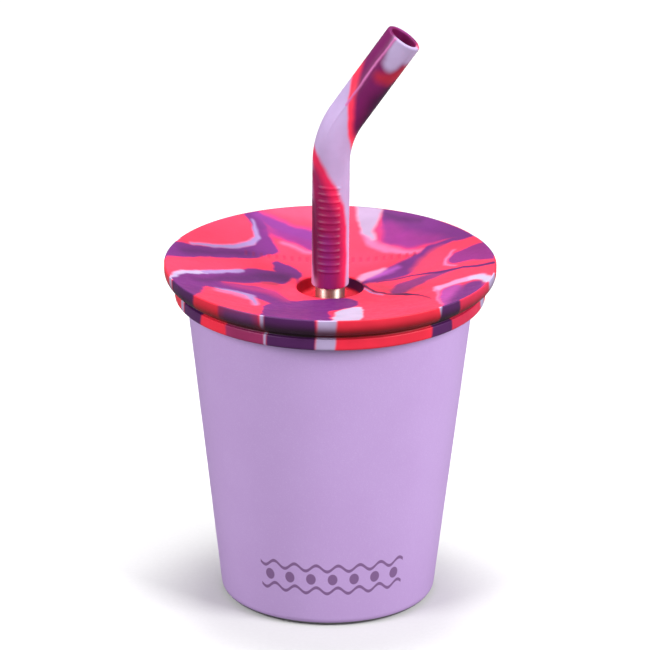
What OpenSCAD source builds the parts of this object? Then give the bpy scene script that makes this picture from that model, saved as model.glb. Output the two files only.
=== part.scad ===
// Straw tumbler for a small child: a tapered steel cup, a silicone lid with a sunken top that
// stretches over the rim, a steel straw tube that slides in the lid, and a bent silicone straw tip.
// Millimetres, +Z up, origin at the centre of the base, the straw's bend leaning towards +X.

/* [Cup] */
// Height of the cup, from the surface it stands on to the top of the rim
cup_h = 91.5; // [86:0.5:100]
// Outer radius of the straight wall where it would meet the base plane
base_r = 29; // [26:0.25:30]
// Outer radius of the wall at the rim
mouth_r = 39.6; // [38:0.1:40]
// Outer radius of the rounded bottom corner
corner_r = 2.6; // [1.5:0.1:5]
// Thickness of the drawn steel sheet
sheet_t = 0.6; // [0.4:0.05:0.9]
// Diameter of the rolled rim
rim_d = 1.4; // [1.2:0.1:1.6]
// Height of the raised panel under the base
recess_h = 1.2; // [0.6:0.1:2]
// Width of the flat ring that the cup stands on
foot_w = 6; // [4:0.5:9]

/* [Lid] */
// Radius of the lid's flange
flange_r = 45; // [44.5:0.25:47]
// Height of the flange's side
flange_h = 5.2; // [4.6:0.1:5.6]
// Height of the flange's top above the cup's rim
lid_rise = 3.6; // [3.4:0.1:5]
// Height of the whole skirt, from the flange's top to the bottom of the bead
skirt_h = 9.7; // [9.4:0.1:12]
// Radius of the bead along the skirt's bottom edge
bead_r = 42.1; // [42:0.1:43]
// Height of that bead
bead_h = 3.3; // [2:0.1:3.4]
// Thickness of the silicone under the sunken top
lid_t = 2; // [1.6:0.1:2.2]
// Depth of the sunken top, from the flange to the lip of the well
funnel_drop = 7.1; // [6:0.1:8]
// How far the sunken top sags below a straight cone
funnel_sag = 1; // [0.5:0.1:1.2]
// Radius of the well round the straw, at its lip
well_r = 9.2; // [8.5:0.1:11]
// Depth of the well
well_depth = 3.8; // [2.5:0.1:4]

/* [Straw tube] */
// Outer diameter of the steel tube
tube_d = 8; // [7.5:0.1:8.2]
// Wall of the steel tube
tube_t = 0.5; // [0.4:0.05:0.7]
// Height of the tube's lower end above the base plane
tube_z = 7; // [7:0.5:12]
// Running clearance between the tube and the holes that it slides in
tube_clear = 0.04; // [0.02:0.01:0.08]

/* [Straw tip] */
// Outer diameter of the silicone tip
tip_d = 10.1; // [9.8:0.1:11]
// Bore of the tip above the tube
tip_bore_d = 7.5; // [6.5:0.1:7.5]
// Gap from the well's floor up to the tip's lower end
tip_gap = 4.7; // [4.5:0.1:8]
// Length of steel tube inside the tip
socket_h = 28; // [20:0.5:30]
// Length of the tip below its bend
sleeve_h = 34.5; // [34:0.1:50]
// Angle of the bend
bend_angle = 34; // [20:1:60]
// Radius of the bend, along its centre line
bend_r = 25; // [14:0.1:30]
// Length of the tip above its bend
mouthpiece_h = 27; // [20:0.1:40]
// Which way the bend leans at rest, turned from +X
tip_turn = -6; // [-180:1:180]
// Number of raised grip bars on the tip
bar_count = 13; // [3:1:13]

/* [Hidden] */

$fn = 144;
fn_fine = 720;
eps = 0.5;

// Cup: slope of the wall, and the centre of the bottom corner
wall_slope = (mouth_r - base_r) / cup_h;
wall_angle = atan(wall_slope);
corner_x = base_r + wall_slope * corner_r - corner_r / cos(wall_angle);
recess_r = corner_x - foot_w;
rim_x = mouth_r - sheet_t / 2;

// Lid: heights
flange_z = cup_h + lid_rise;
lip_z = flange_z - funnel_drop;
well_z = lip_z - well_depth;
bead_z = flange_z - skirt_h;
roof_z = cup_h + 0.2;
// Lid: radii of the channel that holds the rim
skirt_x = rim_x + rim_d / 2 + 0.2;
plug_x = rim_x - rim_d / 2 - 0.4;
groove_x = skirt_x + 1.1;
// Lid: rounded edges of the flange
edge_top_r = 0.4;
edge_low_r = 3.4;
flange_flat = 0.6;
// Lid: inner ring that steadies it inside the rim
ring_w = 1.4;
ring_h = 2.1;
// Lid: well and the collar that grips the straw
well_floor_r = well_r - 0.9;
collar_r = 6.5;
collar_h = 4.7;
grip_r = tube_d / 2 + tube_clear;

// Arc of the sunken top, from the well's lip to the flange
dish_from = [well_r, lip_z];
dish_to = [flange_r - flange_flat, flange_z];
dish_chord = norm(dish_to - dish_from);
dish_r = (pow(dish_chord / 2, 2) + pow(funnel_sag, 2)) / (2 * funnel_sag);
dish_up = [dish_from.y - dish_to.y, dish_to.x - dish_from.x] / dish_chord;
dish_centre = (dish_from + dish_to) / 2 + dish_up * (dish_r - funnel_sag);

// Straw: heights and radii
tip_z = well_z + tip_gap;
tube_top_z = tip_z + socket_h;
tip_r = tip_d / 2;
bore_r = tip_bore_d / 2;
lip_bevel = 0.5;
// How much thinner the wall is at the bend, so that it meets the straight lengths in a clean edge
bend_step = 0.03;
// Straw: grip bars, centred on the side towards -Y
bar_d = 0.8;
bar_sink = 0.1;
bar_pitch = 2;
bar_arc = 76;
bar_start_h = 5;

// Half outline of the cup's shape, set in from its outer surface by the given amount
module pot_outline(inset, top) {
    reach = corner_r - inset;
    side_x = base_r - inset / cos(wall_angle);
    polygon([
        [0, inset],
        [corner_x, inset],
        [corner_x + reach * cos(wall_angle), corner_r - reach * sin(wall_angle)],
        [side_x + wall_slope * top, top],
        [0, top],
    ]);
    translate([corner_x, corner_r]) circle(r = reach);
}

// Half outline of the panel pushed up into the base
module base_panel(lift, spread) {
    polygon([
        [0, lift - eps],
        [recess_r + spread, lift - eps],
        [recess_r + spread, lift],
        [recess_r + spread - recess_h, lift + recess_h],
        [0, lift + recess_h],
    ]);
}

// Drawn steel cup with a rolled rim
module cup() {
    wall_top = cup_h - rim_d / 2;
    color([0.76, 0.63, 0.83]) rotate_extrude() {
        difference() {
            pot_outline(0, wall_top);
            base_panel(0, 0);
            difference() {
                pot_outline(sheet_t, wall_top + eps);
                base_panel(sheet_t, sheet_t * tan(22.5));
            }
        }
        translate([rim_x, wall_top]) circle(d = rim_d);
    }
}

// Everything above the sunken top's arc, lowered by the given amount
module above_dish(lower) {
    translate([dish_centre.x, dish_centre.y - lower]) circle(r = dish_r, $fn = fn_fine);
}

// Half outline of the flange, the skirt and the bead round the outside of the rim
module skirt_outline() {
    flange_low = flange_z - flange_h;
    polygon([
        [skirt_x, flange_low],
        [flange_r - edge_low_r, flange_low],
        [flange_r, flange_low + edge_low_r],
        [flange_r, flange_z - edge_top_r],
        [flange_r - edge_top_r, flange_z],
        [skirt_x, flange_z],
    ]);
    translate([flange_r - edge_low_r, flange_low + edge_low_r]) circle(r = edge_low_r);
    translate([flange_r - edge_top_r, flange_z - edge_top_r]) circle(r = edge_top_r);
    polygon([
        [skirt_x, bead_z],
        [bead_r - bead_h / 2, bead_z],
        [groove_x, bead_z + bead_h / 2],
        [groove_x, flange_low - 1],
        [flange_r - edge_low_r, flange_low],
        [flange_r - edge_low_r, flange_low + edge_low_r],
        [skirt_x, flange_low + edge_low_r],
    ]);
    translate([bead_r - bead_h / 2, bead_z + bead_h / 2]) circle(d = bead_h);
}

// Silicone lid: flange and skirt outside the rim, sunken top with a well, collar round the straw
module lid() {
    color([1, 0.32, 0.45]) rotate_extrude() difference() {
        union() {
            difference() {
                skirt_outline();
                translate([skirt_x - 2 * bead_r, bead_z - eps]) square([2 * bead_r, skirt_h]);
            }
            translate([plug_x, roof_z]) square([flange_r - edge_low_r - plug_x, flange_z - roof_z]);
            // plate of the sunken top
            intersection() {
                above_dish(lid_t);
                translate([well_r, well_z]) square([plug_x - well_r, flange_z - well_z]);
            }
            // ring inside the rim
            translate([plug_x - ring_w, roof_z - ring_h]) square([ring_w, ring_h]);
            // well and collar
            translate([grip_r, well_z - lid_t])
                square([well_r + lid_t / 2 - grip_r, lid_t / 2 + well_depth]);
            translate([grip_r, well_z - collar_h]) square([collar_r - grip_r, collar_h]);
        }
        above_dish(0);
        polygon([
            [0, well_z],
            [well_floor_r, well_z],
            [well_r, lip_z],
            [well_r, flange_z],
            [0, flange_z],
        ]);
    }
}

// Straight steel tube, open at both ends
module straw_tube() {
    length = tube_top_z - tube_z;
    color([0.8, 0.8, 0.82]) translate([0, 0, tube_z]) difference() {
        cylinder(h = length, d = tube_d);
        translate([0, 0, -eps]) cylinder(h = length + 2 * eps, d = tube_d - 2 * tube_t);
    }
}

// Carries its children from the base of the tip to the end of the bend
module past_bend() {
    translate([bend_r * (1 - cos(bend_angle)), 0, sleeve_h + bend_r * sin(bend_angle)])
        rotate([0, bend_angle, 0]) children();
}

// The bend, between the two straight lengths
module bend() {
    translate([bend_r, 0, sleeve_h]) rotate([90, 0, 180])
        rotate_extrude(angle = bend_angle) translate([bend_r, 0]) difference() {
            circle(r = tip_r - bend_step);
            circle(r = bore_r + bend_step);
        }
}

// Straight length above the bend, with a bevelled lip
module mouthpiece() {
    difference() {
        union() {
            cylinder(h = mouthpiece_h - lip_bevel, r = tip_r);
            translate([0, 0, mouthpiece_h - lip_bevel])
                cylinder(h = lip_bevel, r1 = tip_r, r2 = tip_r - lip_bevel);
        }
        translate([0, 0, -eps]) cylinder(h = mouthpiece_h + 2 * eps, r = bore_r);
    }
}

// Straight length below the bend, pushed on over the steel tube
module sleeve() {
    difference() {
        union() {
            cylinder(h = sleeve_h, r = tip_r);
            for (i = [0 : bar_count - 1])
                translate([0, 0, bar_start_h + i * bar_pitch]) grip_bar();
        }
        translate([0, 0, -eps]) cylinder(h = socket_h + eps, r = grip_r);
        translate([0, 0, -eps]) cylinder(h = sleeve_h + 2 * eps, r = bore_r);
    }
}

// One raised bar across the front of the sleeve
module grip_bar() {
    rotate([0, 0, -90 - bar_arc / 2]) rotate_extrude(angle = bar_arc)
        translate([tip_r - bar_sink, 0]) circle(d = bar_d, $fn = 32);
}

// Bent silicone tip that pushes on over the end of the steel tube
module straw_tip() {
    color([0.72, 0.45, 0.72]) translate([0, 0, tip_z]) rotate([0, 0, tip_turn]) {
        sleeve();
        bend();
        past_bend() mouthpiece();
    }
}

cup();
lid();
straw_tube();
straw_tip();
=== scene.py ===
# Straw tumbler: a powder-coated steel cup, a marbled silicone lid, a steel straw and its bent tip.
import math

import bmesh
import bpy
from mathutils import Matrix, Vector


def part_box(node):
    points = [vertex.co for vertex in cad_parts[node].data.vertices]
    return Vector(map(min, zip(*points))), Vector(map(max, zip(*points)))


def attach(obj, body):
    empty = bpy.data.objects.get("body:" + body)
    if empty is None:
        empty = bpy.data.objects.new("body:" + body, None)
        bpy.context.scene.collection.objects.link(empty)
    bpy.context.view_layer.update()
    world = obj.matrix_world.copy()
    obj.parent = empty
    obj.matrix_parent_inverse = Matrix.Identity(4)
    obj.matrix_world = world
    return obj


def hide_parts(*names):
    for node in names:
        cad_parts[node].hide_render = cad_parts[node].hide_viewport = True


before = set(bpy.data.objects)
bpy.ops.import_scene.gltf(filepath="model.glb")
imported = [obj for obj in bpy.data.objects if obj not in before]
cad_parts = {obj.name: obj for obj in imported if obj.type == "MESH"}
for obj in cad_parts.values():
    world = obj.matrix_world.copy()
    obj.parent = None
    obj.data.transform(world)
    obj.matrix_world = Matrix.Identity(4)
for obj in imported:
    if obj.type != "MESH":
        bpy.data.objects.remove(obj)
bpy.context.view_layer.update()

MM = 0.001
UP = Vector((0, 0, 1))

# ---------------------------------------------------------------- sizes, in millimetres


def box_mm(node):
    """The low and high corners of a CAD node's box."""
    low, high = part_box(node)
    return Vector(low) / MM, Vector(high) / MM


CUP_TOP = box_mm("cup")[1]
LID_TOP = box_mm("lid")[1]
TUBE_TOP = box_mm("straw_tube")[1]
TIP_BOTTOM = box_mm("straw_tip")[0]

# Cup: rolled rim, straight wall and the panel pushed up into the base
RIM_D = 1.4
SHEET_T = 0.6
CUP_H = CUP_TOP.z
RIM_X = CUP_TOP.x - RIM_D / 2
MOUTH_R = RIM_X + SHEET_T / 2
BASE_R = 29.0
WALL_SLOPE = (MOUTH_R - BASE_R) / CUP_H
PANEL_R = 19.6
PANEL_LIFT = 1.2

# Lid: flange, sunken top, skirt with its bead, channel for the rim, well and collar
FLANGE_R = LID_TOP.x
FLANGE_Z = LID_TOP.z
FLANGE_H = 5.2
FLANGE_LOW_R = 3.4
DISH_R = FLANGE_R - 0.6
DISH_DROP = 7.1
DISH_SAG = 1.0
SKIRT_H = 9.7
BEAD_R = 42.1
BEAD_H = 3.3
BEAD_TOP_Z = FLANGE_Z - SKIRT_H + BEAD_H
SKIRT_X = RIM_X + RIM_D / 2 + 0.2
PLUG_X = RIM_X - RIM_D / 2 - 0.4
GROOVE_X = SKIRT_X + 1.1
ROOF_Z = CUP_H + 0.2
RING_W = 1.4
RING_H = 2.1
LID_T = 2.0
WELL_R = 9.2
WELL_FLOOR_R = 8.3
WELL_DEPTH = 3.8
LIP_Z = FLANGE_Z - DISH_DROP
WELL_Z = LIP_Z - WELL_DEPTH
COLLAR_R = 6.5
COLLAR_H = 4.7
COLLAR_Z = WELL_Z - COLLAR_H
GRIP_R = TUBE_TOP.x + 0.04

# Lid: row of raised ticks across the sunken top, behind the straw
TICK_PITCH = 2.1
TICKS_EACH_SIDE = 11
TICK_Y = 17.4
TICK_HALF_WIDTH = 0.25
TICK_HALF_LENGTH = 1.2
TICK_RELIEF = 0.22

# Straw tip: sleeve over the tube, bend and mouthpiece, as lengths along the centre line
TIP_Z = TIP_BOTTOM.z
TIP_R = 5.05
BORE_R = 3.75
SLEEVE_H = 34.5
SOCKET_H = TUBE_TOP.z - TIP_Z
BEND = math.radians(34)
BEND_R = 25.0
BEND_H = BEND * BEND_R
MOUTHPIECE_H = 27.0
TIP_LENGTH = SLEEVE_H + BEND_H + MOUTHPIECE_H
TIP_TURN = math.radians(-6)

# Straw tip: raised bars up the front of the sleeve, and the mould's parting line on the mouthpiece
BAR_START = 5.0
BAR_PITCH = 2.0
BAR_COUNT = 13
BAR_RELIEF = 0.3
PARTING_ANGLE = math.radians(117)
PARTING_RELIEF = 0.16


# ---------------------------------------------------------------- mesh helpers


def rounded(corners, step):
    """A closed outline through corners (x, y, radius), with round corners and points about step apart."""
    count = len(corners)
    points = []
    for i, (x, y, radius) in enumerate(corners):
        here = Vector((x, y))
        before = Vector(corners[i - 1][:2]) - here
        after = Vector(corners[(i + 1) % count][:2]) - here
        half = before.angle(after) / 2
        if radius == 0 or half > math.radians(88):
            points.append(here)
            continue
        reach = min(radius / math.tan(half), 0.49 * before.length, 0.49 * after.length)
        start = here + before.normalized() * reach
        end = here + after.normalized() * reach
        pieces = max(3, round((math.pi - 2 * half) / math.radians(15)))
        for k in range(pieces + 1):
            t = k / pieces
            points.append(start * (1 - t) ** 2 + here * 2 * t * (1 - t) + end * t ** 2)
    outline = []
    for i, point in enumerate(points):
        following = points[(i + 1) % len(points)]
        pieces = max(1, math.ceil((following - point).length / step))
        outline += [point.lerp(following, k / pieces) for k in range(pieces)]
    return outline


def closed_skin(name, outline, place, around):
    """A closed mesh: the outline carried round a full turn, each vertex put at place(point, angle)."""
    mesh = bpy.data.meshes.new(name)
    rows = len(outline)
    points = []
    for turn in range(around):
        angle = 2 * math.pi * turn / around
        points += [place(point, angle) * MM for point in outline]
    faces = []
    for turn in range(around):
        here = turn * rows
        there = (turn + 1) % around * rows
        for row in range(rows):
            after = (row + 1) % rows
            faces.append((here + row, there + row, there + after, here + after))
    mesh.from_pydata(points, [], faces)
    work = bmesh.new()
    work.from_mesh(mesh)
    bmesh.ops.recalc_face_normals(work, faces=work.faces)
    work.to_mesh(mesh)
    work.free()
    mesh.shade_smooth()
    piece = bpy.data.objects.new(name, mesh)
    bpy.context.scene.collection.objects.link(piece)
    return piece


def bump_at(distance, half_width, edge):
    """1 within half_width of the middle, falling smoothly to 0 over edge."""
    t = min(1.0, max(0.0, (half_width + edge - abs(distance)) / edge))
    return t * t * (3 - 2 * t)


# ---------------------------------------------------------------- colours and material helpers


def srgb(red, green, blue):
    """A colour given in display values 0 to 255, as the linear colour that shaders take."""

    def linear(value):
        value /= 255
        return value / 12.92 if value <= 0.04045 else ((value + 0.055) / 1.055) ** 2.4

    return (linear(red), linear(green), linear(blue), 1.0)


CORAL = srgb(246, 52, 84)
CRIMSON = srgb(218, 34, 84)
DEEP_CORAL = srgb(230, 40, 66)
PURPLE = srgb(106, 34, 110)
DEEP_PURPLE = srgb(76, 26, 84)
SHADOW_PURPLE = srgb(84, 26, 90)
DARK_PURPLE = srgb(64, 16, 66)
MAGENTA = srgb(134, 38, 118)
MAGENTA_PURPLE = srgb(128, 36, 112)
MAGENTA_LIGHT = srgb(164, 62, 146)
PINK = srgb(224, 98, 144)
PALE_MAUVE = srgb(148, 120, 172)
LAVENDER = srgb(174, 156, 194)
PALE_LAVENDER = srgb(180, 168, 196)
LILAC = srgb(192, 159, 215)
LILAC_MARK = srgb(120, 84, 132)


class Graph:
    """A node tree under construction. Nodes are added in the order in which they are worked out."""

    def __init__(self, tree, material=None):
        self.tree = tree
        self.material = material

    @classmethod
    def for_material(cls, name):
        material = bpy.data.materials.new(name)
        material.use_nodes = True
        material.node_tree.nodes.clear()
        return cls(material.node_tree, material)

    def add(self, kind, inputs=None, **settings):
        node = self.tree.nodes.new(kind)
        for key, value in settings.items():
            setattr(node, key, value)
        for key, value in (inputs or {}).items():
            if isinstance(value, bpy.types.NodeSocket):
                self.tree.links.new(value, node.inputs[key])
            else:
                node.inputs[key].default_value = value
        return node

    def math(self, operation, *values):
        return self.add("ShaderNodeMath", dict(enumerate(values)), operation=operation).outputs[0]

    def vector(self, operation, *values):
        node = self.add("ShaderNodeVectorMath", dict(enumerate(values)), operation=operation)
        return node.outputs["Value" if operation in ("LENGTH", "DOT_PRODUCT") else "Vector"]

    def scaled(self, vector, factor):
        node = self.add("ShaderNodeVectorMath", {0: vector, "Scale": factor}, operation="SCALE")
        return node.outputs["Vector"]

    def ramp(self, value, low, high, to_low=0.0, to_high=1.0):
        inputs = {"Value": value, 1: low, 2: high, 3: to_low, 4: to_high}
        return self.add("ShaderNodeMapRange", inputs, interpolation_type="SMOOTHSTEP").outputs[0]

    def noise(self, vector, scale, detail=2.0, output="Fac"):
        node = self.add("ShaderNodeTexNoise", {"Vector": vector, "Scale": scale, "Detail": detail})
        return node.outputs[output]

    def mix(self, factor, first, second, blend="MIX"):
        inputs = {0: factor, 6: first, 7: second}
        return self.add("ShaderNodeMix", inputs, data_type="RGBA", blend_type=blend).outputs[2]

    def place_mm(self):
        coordinates = self.add("ShaderNodeTexCoord").outputs["Object"]
        return self.scaled(coordinates, 1 / MM)

    def bump(self, height, strength, distance):
        node = self.add("ShaderNodeBump", {"Height": height, "Strength": strength, "Distance": distance})
        return node.outputs["Normal"]

    def finish(self, **inputs):
        shader = self.add("ShaderNodeBsdfPrincipled", {k.replace("_", " "): v for k, v in inputs.items()})
        self.add("ShaderNodeOutputMaterial", {"Surface": shader.outputs[0]})
        return self.material


def stroke_group():
    """Node group: how far a point is inside a tapering round-ended stroke from Start along Run."""
    group = bpy.data.node_groups.new("stroke", "ShaderNodeTree")
    for name in ("Point", "Start", "Run"):
        group.interface.new_socket(name=name, in_out="INPUT", socket_type="NodeSocketVector")
    for name in ("Per Length", "Radius", "Growth", "Softness"):
        group.interface.new_socket(name=name, in_out="INPUT", socket_type="NodeSocketFloat")
    group.interface.new_socket(name="Mask", in_out="OUTPUT", socket_type="NodeSocketFloat")
    graph = Graph(group)
    given = graph.add("NodeGroupInput").outputs
    away = graph.vector("SUBTRACT", given["Point"], given["Start"])
    along = graph.math("MULTIPLY", graph.vector("DOT_PRODUCT", away, given["Run"]), given["Per Length"])
    along = graph.math("MINIMUM", graph.math("MAXIMUM", along, 0.0), 1.0)
    nearest = graph.scaled(given["Run"], along)
    distance = graph.vector("LENGTH", graph.vector("SUBTRACT", away, nearest))
    edge = graph.math("MULTIPLY_ADD", along, given["Growth"], given["Radius"])
    inside = graph.math("SUBTRACT", edge, distance)
    mask = graph.ramp(inside, graph.math("MULTIPLY", given["Softness"], -1.0), given["Softness"])
    graph.add("NodeGroupOutput", {"Mask": mask})
    return group


STROKE = stroke_group()


def painted(graph, point, base, strokes):
    """The base colour with strokes laid over it: each is (colour, softness, [(place, radius), ...])."""
    colour = base
    for tint, softness, route in strokes:
        mask = None
        legs = list(zip(route, route[1:])) or [(route[0], route[0])]
        for (start, radius), (end, end_radius) in legs:
            run = Vector(end) - Vector(start)
            leg = graph.add("ShaderNodeGroup", {
                "Point": point,
                "Start": start,
                "Run": run,
                "Per Length": 1 / max(run.length_squared, 1e-6),
                "Radius": radius,
                "Growth": end_radius - radius,
                "Softness": softness,
            }, node_tree=STROKE).outputs["Mask"]
            mask = leg if mask is None else graph.math("MAXIMUM", mask, leg)
        colour = graph.mix(mask, colour, tint)
    return colour


def silicone(graph, point, colour):
    """Satin silicone: slightly uneven colour and gloss over a fine moulded grain."""
    cloudy = graph.ramp(graph.noise(point, 0.09, 3.0), 0.3, 0.7, 0.9, 1.08)
    shade = graph.add("ShaderNodeCombineColor", {0: cloudy, 1: cloudy, 2: cloudy}).outputs[0]
    colour = graph.mix(1.0, colour, shade, "MULTIPLY")
    grain = graph.noise(point, 5.0, 3.0)
    gloss = graph.ramp(graph.noise(point, 0.4, 2.0), 0.3, 0.7, 0.4, 0.5)
    return graph.finish(Base_Color=colour, Roughness=gloss, Specular_IOR_Level=0.25,
                        Normal=graph.bump(grain, 0.12, 0.0001))


# ---------------------------------------------------------------- lid


def dish(radius):
    """Height of the sunken top at a radius: an arc from the well's lip to the flange."""
    t = (radius - WELL_R) / (DISH_R - WELL_R)
    return LIP_Z + (FLANGE_Z - LIP_Z) * t - 4 * DISH_SAG * t * (1 - t)


def lid_outline():
    """Half section of the lid, from the collar over the top, down the skirt and back underneath."""
    flange_low = FLANGE_Z - FLANGE_H
    bead_low = FLANGE_Z - SKIRT_H
    well_out_r = WELL_R + LID_T / 2
    ring_in_r = PLUG_X - RING_W
    corners = [
        (GRIP_R, COLLAR_Z, 0.4),
        (GRIP_R, WELL_Z, 0.4),
        (WELL_FLOOR_R, WELL_Z, 0.9),
        (WELL_R, LIP_Z, 0.6),
    ]
    top_steps = 24
    for k in range(1, top_steps + 1):
        radius = WELL_R + (DISH_R - WELL_R) * k / top_steps
        corners.append((radius, dish(radius), 0))
    corners.append((FLANGE_R, FLANGE_Z, 0.45))
    curve_steps = 12
    for k in range(curve_steps + 1):
        turn = math.pi / 2 * k / curve_steps
        drop = FLANGE_LOW_R * (1 - math.sin(turn))
        corners.append((FLANGE_R - FLANGE_LOW_R * (1 - math.cos(turn)), flange_low + drop, 0))
    corners += [
        (GROOVE_X, flange_low - 0.1, 0.2),
        (GROOVE_X, bead_low + BEAD_H, 0.4),
        (BEAD_R, bead_low + BEAD_H, 1.2),
        (BEAD_R, bead_low, 1.5),
        (SKIRT_X, bead_low, 0.5),
        (SKIRT_X, ROOF_Z, 0.4),
        (PLUG_X, ROOF_Z, 0.4),
        (PLUG_X, ROOF_Z - RING_H, 0.5),
        (ring_in_r, ROOF_Z - RING_H, 0.5),
    ]
    under_steps = 16
    for k in range(under_steps + 1):
        radius = ring_in_r - (ring_in_r - well_out_r) * k / under_steps
        corners.append((radius, dish(radius) - LID_T, 0))
    corners += [
        (well_out_r, WELL_Z - LID_T, 1.2),
        (COLLAR_R, WELL_Z - LID_T, 0.6),
        (COLLAR_R, COLLAR_Z, 0.5),
    ]
    return rounded(corners, 0.75)


def raised_ticks(x, y):
    """How far the row of ticks stands up from the sunken top at a place."""
    nearest = round(x / TICK_PITCH)
    if abs(nearest) > TICKS_EACH_SIDE:
        return 0.0
    across = bump_at(x - nearest * TICK_PITCH, TICK_HALF_WIDTH, 0.35)
    return TICK_RELIEF * across * bump_at(y - TICK_Y, TICK_HALF_LENGTH, 0.4)


def place_on_lid(point, angle):
    x = point.x * math.cos(angle)
    y = point.x * math.sin(angle)
    on_top = WELL_R + 1 < point.x < FLANGE_R - 1 and point.y > dish(point.x) - 0.2
    return Vector((x, y, point.y + (raised_ticks(x, y) if on_top else 0.0)))


def flat(*route):
    """A stroke's route on the sunken top, seen from above: (x, y, radius)."""
    return [((x, y, 0.0), radius) for x, y, radius in route]


def upright(*route):
    """A stroke's route round the side: (degrees to the right of the front, height, radius)."""
    return [((degrees, z, 0.0), radius) for degrees, z, radius in route]


def band(top, top_width, low, low_width):
    """A stripe down the side: its middle and width in degrees at the top and at the bottom edge."""
    return upright((top, FLANGE_Z, top_width / 2), (low, FLANGE_Z - SKIRT_H, low_width / 2))


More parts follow.
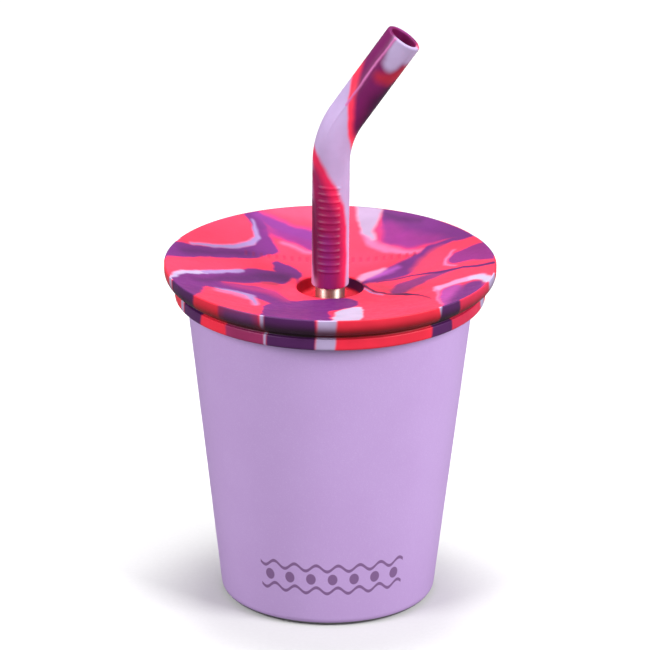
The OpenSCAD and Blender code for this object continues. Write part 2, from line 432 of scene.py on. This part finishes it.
TOP_STROKES = [
    # back left
    (PURPLE, 0.7, flat((-47, 8, 5.5), (-40, 11, 4.4), (-34, 13.6, 2.6),
                       (-28, 15.4, 2.8), (-22, 18, 3.0))),
    (PURPLE, 0.7, flat((-22, 18, 3.0), (-17.8, 21, 3.3), (-17.8, 27, 2.4),
                       (-19.4, 33, 2.2), (-24, 44, 3.2))),
    (srgb(122, 42, 124), 1.6, flat((-19, 38, 1.6), (-12, 31.5, 3.8), (-3, 27.5, 5.2))),
    (MAGENTA, 1.8, flat((-16.6, 31.6, 0.8), (-11.5, 27.8, 1.4), (-3, 24.6, 2.0))),
    (PINK, 1.2, flat((-13, 25.4, 0.5), (-7, 22.4, 0.6), (-2, 21, 0.4))),
    (srgb(208, 66, 100), 2.2, flat((-14, 42.5, 3.4), (-3, 41, 4.2))),
    (PALE_MAUVE, 0.7, flat((-38, 16.1, 0.5), (-32, 17.5, 0.8), (-26, 20, 1.0), (-22, 23.2, 1.2))),
    (PALE_MAUVE, 0.7, flat((-22, 23.2, 1.2), (-19.9, 27, 1.2), (-20.3, 31, 0.8), (-21.4, 35, 0.4))),
    # left
    (PURPLE, 0.6, flat((-14.6, 13.6, 1.4), (-12.4, 10.6, 3.0), (-10.4, 7.4, 3.2), (-13.4, 3.8, 3.8))),
    (PURPLE, 0.8, flat((-12, 5, 4.2), (-20, 4.2, 4.5), (-27, -0.2, 4.6),
                       (-34, -5.4, 4.8), (-38, -12, 4.4))),
    (PURPLE, 0.8, flat((-38, -12, 4.4), (-39, -20, 4.4), (-40, -30, 4.0))),
    (PURPLE, 1.2, flat((-31, -8.6, 4.6), (-21, -8.2, 4.6), (-14, -14, 5.0), (-10, -19, 5.6))),
    (PURPLE, 0.7, flat((-9.1, -25, 9.2), (-9.1, -56, 9.4))),
    (PURPLE, 0.7, flat((-3, -18, 7.6), (1, -15.6, 6.4), (2.4, -14.6, 5.6))),
    (SHADOW_PURPLE, 2.2, flat((-36, -9, 1.0), (-27, -1, 2.4), (-20.5, 2.4, 3.4), (-13, 4.4, 3.4))),
    (SHADOW_PURPLE, 2.2, flat((-40, 11, 1.6), (-30, 15, 0.8), (-22, 17.5, 1.4))),
    (srgb(160, 40, 104), 2.4, flat((-28, -7, 0.6), (-20, -6.4, 1.8), (-14, -8, 2.6), (-12, -14, 1.2))),
    (srgb(196, 44, 82), 1.0, flat((-29, -6, 0.2), (-22, -3.2, 0.9), (-16, -1.6, 1.7), (-13, -4, 2.0))),
    (srgb(150, 40, 66), 1.2, flat((-18, -0.9, 0.6), (-14.4, -0.6, 0.8))),
    (CORAL, 1.0, flat((-9.2, 4, 0.8), (-11, -1, 1.5), (-10.8, -6.5, 2.4), (-10, -12, 1.4))),
    (CORAL, 0.9, flat((-27.4, -19.6, 7.2), (-27.2, -26, 8.3), (-27.4, -44, 8.6))),
    (srgb(216, 96, 142), 1.4, flat((-30, -14.6, 1.0), (-25.6, -14, 1.6), (-22.6, -17, 1.2))),
    (PALE_MAUVE, 1.0, flat((-30, -12.4, 0.3), (-25.4, -11.9, 0.9), (-22, -14, 1.4),
                           (-20.7, -18.5, 1.0), (-20.4, -24, 0.4))),
    (LAVENDER, 0.6, flat((-43.6, -15, 0.6), (-41.6, -8.6, 0.8), (-39, -4.6, 0.9), (-34, -0.6, 0.9))),
    (PALE_MAUVE, 0.6, flat((-34, -0.6, 0.9), (-29, 2.7, 1.0), (-24.4, 6, 1.0))),
    # back right
    (PURPLE, 1.0, flat((18, 47, 4.0), (20, 38, 6.2), (27.6, 32, 9.4), (36, 29.4, 7.6), (46, 27, 5.4))),
    (MAGENTA, 2.4, flat((16.4, 33, 3.0), (17.8, 27, 4.2), (22.6, 24.8, 4.2), (28, 23.6, 2.6))),
    (SHADOW_PURPLE, 1.8, flat((15.6, 39.6, 1.0), (19, 37, 1.4), (24, 35, 1.0))),
    (PINK, 1.2, flat((9.4, 32, 1.0), (11.6, 26.4, 1.5), (15.4, 22, 1.5),
                     (21, 19.4, 1.0), (27, 18.4, 0.5))),
    (srgb(164, 138, 170), 0.9, flat((11.6, 47, 3.9), (10.3, 38, 3.0), (10.6, 32, 1.7), (12, 28, 0.7))),
    # right: streak down to the well
    (PURPLE, 1.1, flat((9.6, 2.6, 1.2), (14, 6, 3.3), (19, 8.6, 4.2), (23.4, 14.4, 2.8), (28, 19, 1.7))),
    (PURPLE, 0.7, flat((28, 19, 1.7), (33, 21.6, 1.1), (42, 22.4, 1.0))),
    (srgb(170, 74, 170), 1.4, flat((10.6, 5, 0.9), (14.4, 8, 1.4), (18, 10.6, 0.8))),
    (srgb(214, 140, 180), 0.9, flat((7.4, 4, 1.2), (10, 7.4, 1.7), (14, 10.4, 0.9))),
    (srgb(198, 54, 88), 1.8, flat((24.6, 8.6, 2.2), (27, 13, 2.8), (30.6, 17.4, 1.8))),
    (MAGENTA_PURPLE, 0.7, flat((35.6, 10.8, 3.6), (39.6, 11.4, 4.6), (46, 9.4, 6.4))),
    (srgb(206, 104, 152), 0.7, flat((34.4, 5.8, 0.3), (31.4, 8, 0.5),
                                    (31.2, 11.4, 0.5), (33.6, 15.6, 0.3))),
    (PALE_MAUVE, 0.6, flat((42.4, 15.6, 0.3), (43.8, 12, 0.8), (44.8, 8, 0.5))),
    (srgb(202, 54, 80), 1.0, flat((11, 1.4, 0.6), (14, -0.8, 1.5), (15.4, -4.4, 1.4), (24, -7.6, 1.6))),
    (srgb(128, 42, 104), 0.9, flat((18.6, -6.6, 2.2), (20, -3.4, 3.0),
                                   (25.6, 0.2, 2.0), (32.4, 2.8, 1.1))),
    (SHADOW_PURPLE, 0.6, flat((13, 2.5, 0.3), (22, 4.0, 0.6), (30, 3.0, 0.9),
                              (36, 3.4, 0.8), (44.6, -0.2, 1.0))),
    # right front
    (MAGENTA_LIGHT, 1.0, flat((32.6, -13.2, 3.2), (32.8, -24, 3.4), (32, -33, 2.6))),
    (PURPLE, 1.8, flat((38.6, -14, 3.4), (37, -22, 4.0), (34, -31, 3.6), (36, -38, 4.0))),
    (srgb(214, 140, 184), 0.8, flat((28.6, -11, 0.9), (29.8, -8.6, 1.5),
                                    (35, -7.4, 1.9), (40, -7.4, 1.9))),
    (PALE_LAVENDER, 0.7, flat((39.4, -7.4, 1.7), (42, -9.8, 1.4), (43.6, -15.4, 1.3))),
    (PINK, 0.6, flat((28.4, -11, 0.5), (29.1, -20, 0.4), (29.4, -30, 0.25))),
    (DARK_PURPLE, 0.5, flat((9, 0.8, 0.5), (12.2, -4.4, 0.5), (15.4, -7.9, 0.45),
                            (20, -9.6, 0.8), (23.4, -12.6, 0.6))),
    (DARK_PURPLE, 0.7, flat((23.4, -12.6, 0.5), (27, -19.6, 0.2))),
    (PALE_MAUVE, 0.4, flat((8.8, -1, 0.3), (11.5, -5.3, 0.4), (14.8, -8.9, 0.25))),
    # front
    (PALE_LAVENDER, 0.5, flat((7.5, -20.4, 1.6), (6, -24.6, 3.3), (4.9, -31, 4.0), (4.2, -48, 4.1))),
]

SIDE_STROKES = [
    (DEEP_PURPLE, 0.8, band(-62, 16.5, -61.5, 13)),
    (LAVENDER, 0.8, band(-72.6, 3.0, -70, 2.6)),
    (srgb(150, 40, 92), 0.8, band(-33, 16.5, -32.6, 17)),
    (srgb(104, 50, 108), 1.8, upright((-37, 92.5, 2.4), (-29, 92.5, 2.8))),
    (LAVENDER, 0.5, band(-23.4, 1.6, -24, 1.0)),
    (DEEP_PURPLE, 0.7, band(-13.8, 18, -14.4, 18)),
    (LAVENDER, 0.7, band(-0.9, 6.4, -1.8, 7)),
    (LAVENDER, 0.5, upright((40.8, 96, 0.9), (41.4, 92.6, 0.4))),
    (DEEP_PURPLE, 0.7, band(46, 9.5, 45.4, 11)),
    (srgb(206, 40, 76), 0.8, band(60, 19, 63, 24)),
    (LAVENDER, 1.0, band(76, 9, 78, 5)),
    (PURPLE, 1.0, band(106, 18, 109, 24)),
    (LAVENDER, 0.7, band(119, 4, 123, 3)),
    (MAGENTA_PURPLE, 1.2, band(146, 15, 142, 17)),
    (PURPLE, 1.0, band(168, 9, 165, 12)),
    (PURPLE, 1.0, band(-101, 17, -98, 20)),
    (LAVENDER, 0.7, band(-112, 3.4, -110, 4)),
    (MAGENTA_PURPLE, 1.2, band(-137, 12, -140, 16)),
]


def lid_material():
    graph = Graph.for_material("marbled_lid_silicone")
    place = graph.place_mm()
    parts = graph.add("ShaderNodeSeparateXYZ", {0: place}).outputs
    from_above = graph.vector("MULTIPLY", place, (1, 1, 0))
    radius = graph.vector("LENGTH", from_above)
    wander = graph.vector("SUBTRACT", graph.noise(place, 0.13, 2.0, "Color"), (0.5, 0.5, 0.5))
    point = graph.vector("ADD", from_above, graph.vector("MULTIPLY", wander, (3.2, 3.2, 0)))
    point_parts = graph.add("ShaderNodeSeparateXYZ", {0: point}).outputs
    top = painted(graph, point, CORAL, TOP_STROKES)
    # raised ticks are painted a little darker: painted shade standing in for their relief
    tick_shade = graph.math("PINGPONG", parts["X"], TICK_PITCH / 2)
    tick_shade = graph.ramp(tick_shade, TICK_HALF_WIDTH, TICK_HALF_WIDTH + 0.3, 1.0, 0.0)
    tick_row = graph.math("ABSOLUTE", graph.math("SUBTRACT", parts["Y"], TICK_Y))
    tick_length = graph.ramp(tick_row, TICK_HALF_LENGTH, TICK_HALF_LENGTH + 0.4, 1.0, 0.0)
    tick_shade = graph.math("MULTIPLY", tick_shade, tick_length)
    row_end = TICK_PITCH * (TICKS_EACH_SIDE + 0.5)
    tick_reach = graph.ramp(graph.math("ABSOLUTE", parts["X"]), row_end - 0.2, row_end + 0.2, 0.4, 0.0)
    tick_shade = graph.math("MULTIPLY", tick_shade, tick_reach)
    # but only on the upper face: above a cone through the middle of the silicone under the row
    row_far = math.hypot(TICK_Y, row_end)
    slope = (dish(row_far) - dish(TICK_Y)) / (row_far - TICK_Y)
    middle_z = graph.math("MULTIPLY_ADD", radius, slope, dish(TICK_Y) - LID_T / 2 - slope * TICK_Y)
    upper = graph.ramp(graph.math("SUBTRACT", parts["Z"], middle_z), -0.3, 0.3)
    top = graph.mix(graph.math("MULTIPLY", tick_shade, upper), top, srgb(120, 20, 70))
    # flange and skirt: stripes, spread over degrees round and millimetres up
    turn = graph.math("ARCTAN2", parts["X"], graph.math("MULTIPLY", parts["Y"], -1.0))
    degrees = graph.math("MULTIPLY", turn, math.degrees(1))
    round_side = graph.add("ShaderNodeCombineXYZ", {0: degrees, 1: parts["Z"], 2: 0.0}).outputs[0]
    round_side = graph.vector("ADD", round_side, graph.vector("MULTIPLY", wander, (1.6, 0, 0)))
    side = painted(graph, round_side, DEEP_CORAL, SIDE_STROKES)
    # painted shade in the fold between the flange and the bead, darkest at its bottom
    fold_shade = graph.ramp(parts["Z"], FLANGE_Z - FLANGE_H + 0.4, FLANGE_Z, 1.0, 0.0)
    fold_shade = graph.math("MULTIPLY", fold_shade, graph.ramp(parts["Z"], BEAD_TOP_Z - 0.1, BEAD_TOP_Z + 0.5))
    side = graph.mix(fold_shade, side, srgb(124, 40, 64), "MULTIPLY")
    on_side = graph.math("MAXIMUM", graph.ramp(radius, FLANGE_R - 0.5, FLANGE_R - 0.3),
                         graph.ramp(parts["Z"], FLANGE_Z - 1.7, FLANGE_Z - 1.5, 1.0, 0.0))
    on_side = graph.math("MULTIPLY", on_side, graph.ramp(radius, SKIRT_X - 0.7, SKIRT_X - 0.2))
    colour = graph.mix(on_side, top, side)
    # well: the marbling's crimson on the left and purple on the right, both darker on the walls as
    # painted shade inside the recess; brighter red low down on the floor
    well = graph.mix(graph.ramp(point_parts["X"], 0.5, 4.0), srgb(176, 14, 40), srgb(70, 20, 76))
    low = graph.ramp(parts["Z"], WELL_Z + 0.2, WELL_Z + 1.2, 1.0, 0.0)
    well = graph.mix(low, well, srgb(226, 44, 66))
    in_well = graph.math("MULTIPLY", graph.ramp(radius, WELL_R - 0.1, WELL_R + 0.1, 1.0, 0.0),
                         graph.ramp(parts["Z"], LIP_Z - 0.6, LIP_Z - 0.2, 1.0, 0.0))
    return silicone(graph, place, graph.mix(in_well, colour, well))


lid = closed_skin("lid_moulding", lid_outline(), place_on_lid, 360)
lid.data.materials.append(lid_material())
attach(lid, "lid")
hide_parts("lid")


# ---------------------------------------------------------------- straw tip


def on_tip(along, across, front):
    """The place along the tip's centre line, off it towards the bend's inside and towards the front."""
    turned = min(max(along - SLEEVE_H, 0) / BEND_R, BEND)
    heading = Vector((math.sin(turned), 0, math.cos(turned)))
    side = Vector((math.cos(turned), 0, -math.sin(turned)))
    height = min(along, SLEEVE_H) + BEND_R * math.sin(turned)
    centre = Vector((BEND_R * (1 - math.cos(turned)), 0, height))
    centre += heading * max(along - SLEEVE_H - BEND_H, 0)
    place = centre + side * across + Vector((0, -front, 0))
    place.rotate(Matrix.Rotation(TIP_TURN, 3, "Z"))
    return place + UP * TIP_Z


def grip_bars(along, angle):
    """How far the bars stand out from the front of the sleeve at a place."""
    nearest = min(max(round((along - BAR_START) / BAR_PITCH), 0), BAR_COUNT - 1)
    off_bar = along - BAR_START - BAR_PITCH * nearest
    return BAR_RELIEF * bump_at(off_bar, 0.12, 0.32) * bump_at(angle - math.pi / 2, 0.6, 0.09)


def parting_line(along, angle):
    """How far the mould's parting line stands out at a place, fading in along the bend."""
    fade = min(1.0, max(0.0, (along - SLEEVE_H - 0.4 * BEND_H) / 6))
    return PARTING_RELIEF * fade * bump_at(angle - PARTING_ANGLE, 0.02, 0.06)


def tip_outline():
    """Half section along the centre line: outer surface, rounded lip, bore and socket."""
    corners = [
        (TIP_R, 0, 0.35),
        (TIP_R, TIP_LENGTH, 0.6),
        (BORE_R, TIP_LENGTH, 0.5),
        (BORE_R, SOCKET_H, 0.1),
        (GRIP_R, SOCKET_H, 0.1),
        (GRIP_R, 0, 0.35),
    ]
    return rounded(corners, 0.3)


def place_on_tip(point, angle):
    radius, along = point
    if radius > TIP_R - 0.2:
        radius += grip_bars(along, angle) + parting_line(along, angle)
    return on_tip(along, radius * math.cos(angle), radius * math.sin(angle))


def spots(*route):
    """A stroke's route on the tip: (length along, degrees to the right of the front, radius)."""
    places = []
    for along, degrees, radius in route:
        turn = math.radians(degrees)
        places.append((on_tip(along, TIP_R * math.sin(turn), TIP_R * math.cos(turn)), radius))
    return places


def beyond(along, lean):
    """A spot so large that its edge crosses the tip almost as a plane; lean tilts it sideways."""
    radius = 60.0
    normal = on_tip(along, lean, 0) - on_tip(along - 1, 0, 0)
    return [(on_tip(along, 0, 0) + normal.normalized() * radius, radius)]


TIP_STROKES = [
    # sleeve: dark magenta from the lower end, thinning out up the left side, with a crimson edge
    (CRIMSON, 0.9, spots((-2, 36, 1.9), (8, 43, 2.1), (17, 42, 2.0), (23, 27, 2.2), (28, 3, 1.9))),
    (CRIMSON, 0.9, spots((28, 3, 1.9), (32, -22, 1.9), (36, -52, 1.9), (38, -80, 1.3))),
    (srgb(142, 20, 80), 1.7, spots((-2, -2, 3.6), (10, 2, 3.9), (19, -8, 4.0),
                                   (26, -30, 3.0), (32, -58, 2.2))),
    (srgb(98, 12, 62), 2.0, spots((4, -46, 1.8), (15, -54, 2.4), (23, -66, 2.0))),
    (srgb(126, 26, 100), 1.6, spots((-2, -8, 2.2), (5, -4, 1.8), (14, -8, 1.6))),
    (srgb(200, 130, 180), 0.8, spots((-1, -60, 1.2), (5, -70, 0.5))),
    # sleeve: back
    (PURPLE, 1.2, spots((2, 150, 3.2), (14, 190, 3.0), (30, 140, 2.4))),
    (CRIMSON, 1.2, spots((6, 240, 2.2), (20, 230, 2.8), (34, 190, 1.8))),
    # past the bend
    (CORAL, 0.5, beyond(50, 1.4386)),
    (srgb(110, 20, 86), 1.0, beyond(53, 1.732)),
    # painted shade on the underside of the mouthpiece, just past the bend
    (srgb(52, 8, 52), 2.6, spots((50, 80, 3.0), (58, 64, 3.2), (64, 82, 2.8))),
    (MAGENTA_PURPLE, 2.0, spots((58, 180, 3.0), (68, 210, 3.4), (80, 190, 2.6))),
    (srgb(168, 34, 60), 1.6, spots((64.8, 6, 1.4), (66, 40, 2.2), (69.5, 80, 2.6), (72, 130, 2.0))),
    (LAVENDER, 1.2, spots((69.8, 12, 2.2), (73, 12, 3.2), (79, 14, 3.9))),
    (LAVENDER, 1.2, spots((72.6, 60, 1.6), (79, 70, 2.8))),
    (CORAL, 0.8, spots((77, 88, 1.2), (78, 112, 1.6))),
    # painted highlight along the mould's parting line on the mouthpiece
    (srgb(196, 104, 166), 0.35, spots((53, -27, 0.3), (77, -27, 0.35))),
    # inside of the mouthpiece
    (srgb(116, 20, 76), 0.3, [(on_tip(60, 0, 0), 3.9), (on_tip(80, 0, 0), 3.9)]),
]


def tip_material():
    graph = Graph.for_material("marbled_tip_silicone")
    place = graph.place_mm()
    wander = graph.vector("SUBTRACT", graph.noise(place, 0.2, 2.0, "Color"), (0.5, 0.5, 0.5))
    point = graph.vector("ADD", place, wander)
    return silicone(graph, place, painted(graph, point, srgb(184, 160, 204), TIP_STROKES))


tip = closed_skin("straw_tip_moulding", tip_outline(), place_on_tip, 144)
tip.data.materials.append(tip_material())
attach(tip, "straw_tip")
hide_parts("straw_tip")


# ---------------------------------------------------------------- cup


def cup_mark(graph, parts):
    """A tone-on-tone border low on the front: a row of dots between two wavy lines."""
    middle_z = 14.6
    mark_r = BASE_R + WALL_SLOPE * middle_z
    half_length = 20.5
    centre_along = 1.3
    pitch = 5.9
    line_offset = 3.4
    turn = graph.math("ARCTAN2", parts["X"], graph.math("MULTIPLY", parts["Y"], -1.0))
    along = graph.math("SUBTRACT", graph.math("MULTIPLY", turn, mark_r), centre_along)
    height = graph.math("SUBTRACT", parts["Z"], middle_z)
    phase = graph.math("MULTIPLY", along, 2 * math.pi / pitch)
    wave = graph.math("MULTIPLY", graph.math("SINE", phase), 0.9)
    mask = None
    for offset in (-line_offset, line_offset):
        above_line = graph.math("SUBTRACT", graph.math("SUBTRACT", height, wave), offset)
        line = graph.ramp(graph.math("ABSOLUTE", above_line), 0.42, 0.54, 1.0, 0.0)
        mask = line if mask is None else graph.math("MAXIMUM", mask, line)
    across = graph.math("WRAP", along, pitch / 2, -pitch / 2)
    spot = graph.add("ShaderNodeCombineXYZ", {0: across, 1: graph.math("MULTIPLY", height, 0.8), 2: 0.0})
    dot = graph.ramp(graph.vector("LENGTH", spot.outputs[0]), 1.25, 1.4, 1.0, 0.0)
    mask = graph.math("MAXIMUM", mask, dot)
    within = graph.ramp(graph.math("ABSOLUTE", along), half_length, half_length + 0.15, 1.0, 0.0)
    return graph.math("MULTIPLY", mask, within)


def cup_material():
    graph = Graph.for_material("powder_coated_steel")
    place = graph.place_mm()
    parts = graph.add("ShaderNodeSeparateXYZ", {0: place}).outputs
    radius = graph.vector("LENGTH", graph.vector("MULTIPLY", place, (1, 1, 0)))
    # coat outside, bare steel inside and over the rolled rim
    sheet_middle = graph.math("MULTIPLY_ADD", parts["Z"], WALL_SLOPE, BASE_R - SHEET_T / 2)
    outside_wall = graph.math("GREATER_THAN", radius, sheet_middle)
    below_rim = graph.math("LESS_THAN", parts["Z"], CUP_H - RIM_D)
    under_base = graph.math("LESS_THAN", parts["Z"], SHEET_T / 2)
    panel = graph.math("LESS_THAN", radius, PANEL_R)
    panel_middle = PANEL_LIFT + SHEET_T / 2
    under_panel = graph.math("MULTIPLY", panel, graph.math("LESS_THAN", parts["Z"], panel_middle))
    coated = graph.math("MULTIPLY", outside_wall, below_rim)
    coated = graph.math("MAXIMUM", coated, graph.math("MAXIMUM", under_base, under_panel))
    # fine orange-peel grain of the coat, with tiny lighter specks
    fine = graph.noise(place, 2.6, 2.0)
    coarse = graph.noise(place, 0.5, 2.0)
    specks = graph.ramp(fine, 0.5, 0.75, 0.0, 0.35)
    coat = graph.mix(specks, LILAC, srgb(206, 178, 226))
    patches = graph.ramp(graph.noise(place, 0.05, 2.0), 0.35, 0.65, 0.0, 0.12)
    coat = graph.mix(patches, coat, srgb(176, 138, 196))
    coat = graph.mix(graph.math("MULTIPLY", cup_mark(graph, parts), 0.9), coat, LILAC_MARK)
    # circular brushing of the bare steel
    rings = graph.noise(graph.vector("MULTIPLY", place, (0.02, 0.02, 1.0)), 6.0, 3.0)
    steel = graph.mix(rings, srgb(150, 148, 150), srgb(198, 196, 198))
    colour = graph.mix(coated, steel, coat)
    metal = graph.math("SUBTRACT", 1.0, coated)
    coat_rough = graph.ramp(coarse, 0.3, 0.7, 0.46, 0.54)
    steel_rough = graph.ramp(rings, 0.3, 0.7, 0.24, 0.36)
    rough = graph.add("ShaderNodeMix", {0: coated, 2: steel_rough, 3: coat_rough}).outputs[0]
    grain = graph.math("ADD", fine, graph.math("MULTIPLY", coarse, 1.5))
    height = graph.add("ShaderNodeMix", {0: coated, 2: rings, 3: grain}).outputs[0]
    return graph.finish(Base_Color=colour, Metallic=metal, Roughness=rough, Specular_IOR_Level=0.4,
                        Normal=graph.bump(height, 0.22, 0.0001))


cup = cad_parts["cup"]
cup.data.materials.clear()
cup.data.materials.append(cup_material())


# ---------------------------------------------------------------- straw tube


def tube_material():
    graph = Graph.for_material("brushed_steel")
    place = graph.place_mm()
    drawn = graph.noise(graph.vector("MULTIPLY", place, (0.05, 0.05, 1.0)), 9.0, 3.0)
    # the brushed streaks are the steel's own; their warm tint is a painted reflection of the coral lid
    colour = graph.mix(drawn, srgb(214, 200, 188), srgb(236, 226, 216))
    rough = graph.ramp(drawn, 0.3, 0.7, 0.46, 0.54)
    round_axis = graph.add("ShaderNodeTangent", direction_type="RADIAL", axis="Z").outputs[0]
    return graph.finish(Base_Color=colour, Metallic=1.0, Roughness=rough, Anisotropic=0.9,
                        Anisotropic_Rotation=0.25, Tangent=round_axis,
                        Normal=graph.bump(drawn, 0.05, 0.0001))


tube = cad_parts["straw_tube"]
tube.data.materials.clear()
tube.data.materials.append(tube_material())


# ---------------------------------------------------------------- studio


def floor_material():
    graph = Graph.for_material("white_paper")
    place = graph.place_mm()
    tooth = graph.noise(place, 0.8, 3.0)
    paper = graph.mix(tooth, srgb(214, 214, 214), srgb(220, 220, 220))
    # the floor throws back less light than it shows, so that the object's undersides stay dark
    shown = graph.add("ShaderNodeLightPath").outputs["Is Camera Ray"]
    colour = graph.mix(shown, srgb(120, 120, 120), paper)
    return graph.finish(Base_Color=colour, Roughness=0.9, Specular_IOR_Level=0.1)


bpy.ops.mesh.primitive_plane_add(size=12)
floor = bpy.context.object
floor.name = "floor"
floor.data.materials.append(floor_material())


def softbox(name, place, aim, size, power):
    """A rectangular area light at place, facing aim."""
    light = bpy.data.lights.new(name, "AREA")
    light.shape = "RECTANGLE"
    light.size, light.size_y = size
    light.energy = power
    lamp = bpy.data.objects.new(name, light)
    bpy.context.scene.collection.objects.link(lamp)
    lamp.location = place
    lamp.rotation_euler = (Vector(aim) - Vector(place)).to_track_quat("-Z", "Y").to_euler()


middle = (0, 0, 0.08)
softbox("overhead", (0.0, 0.15, 1.3), middle, (0.4, 0.4), 14)
softbox("key_right", (1.4, -0.8, 1.0), middle, (0.8, 1.0), 38)
softbox("fill_left", (-1.4, -0.9, 1.0), middle, (0.8, 1.0), 27)

world = bpy.data.worlds.new("studio")
world.use_nodes = True
world.node_tree.nodes["Background"].inputs["Color"].default_value = (1, 1, 1, 1)
world.node_tree.nodes["Background"].inputs["Strength"].default_value = 0.35
bpy.context.scene.world = world
bpy.context.scene.view_settings.view_transform = "Standard"

# Long lens from the front, about 21 degrees above the table
CAMERA_DISTANCE = 1.6
CAMERA_AIM_Z = 0.06
CAMERA_RAISED = math.radians(21.6)
CAMERA_TILT = math.radians(21.04)
CAMERA_ROLL = math.radians(0.43)
CAMERA_YAW = math.radians(0.05)
SENSOR_WIDTH = 36.0
VIEW_WIDTH = 177.305 * MM

camera_data = bpy.data.cameras.new("camera")
camera_data.sensor_width = SENSOR_WIDTH
camera_data.lens = SENSOR_WIDTH * CAMERA_DISTANCE / VIEW_WIDTH
camera = bpy.data.objects.new("camera", camera_data)
bpy.context.scene.collection.objects.link(camera)
look = Matrix.Rotation(CAMERA_YAW, 4, "Z") @ Matrix.Rotation(math.pi / 2 - CAMERA_TILT, 4, "X")
look @= Matrix.Rotation(CAMERA_ROLL, 4, "Z")
camera.matrix_world = Matrix.Translation((
    0,
    -CAMERA_DISTANCE * math.cos(CAMERA_RAISED),
    CAMERA_DISTANCE * math.sin(CAMERA_RAISED) + CAMERA_AIM_Z,
)) @ look
bpy.context.scene.camera = camera
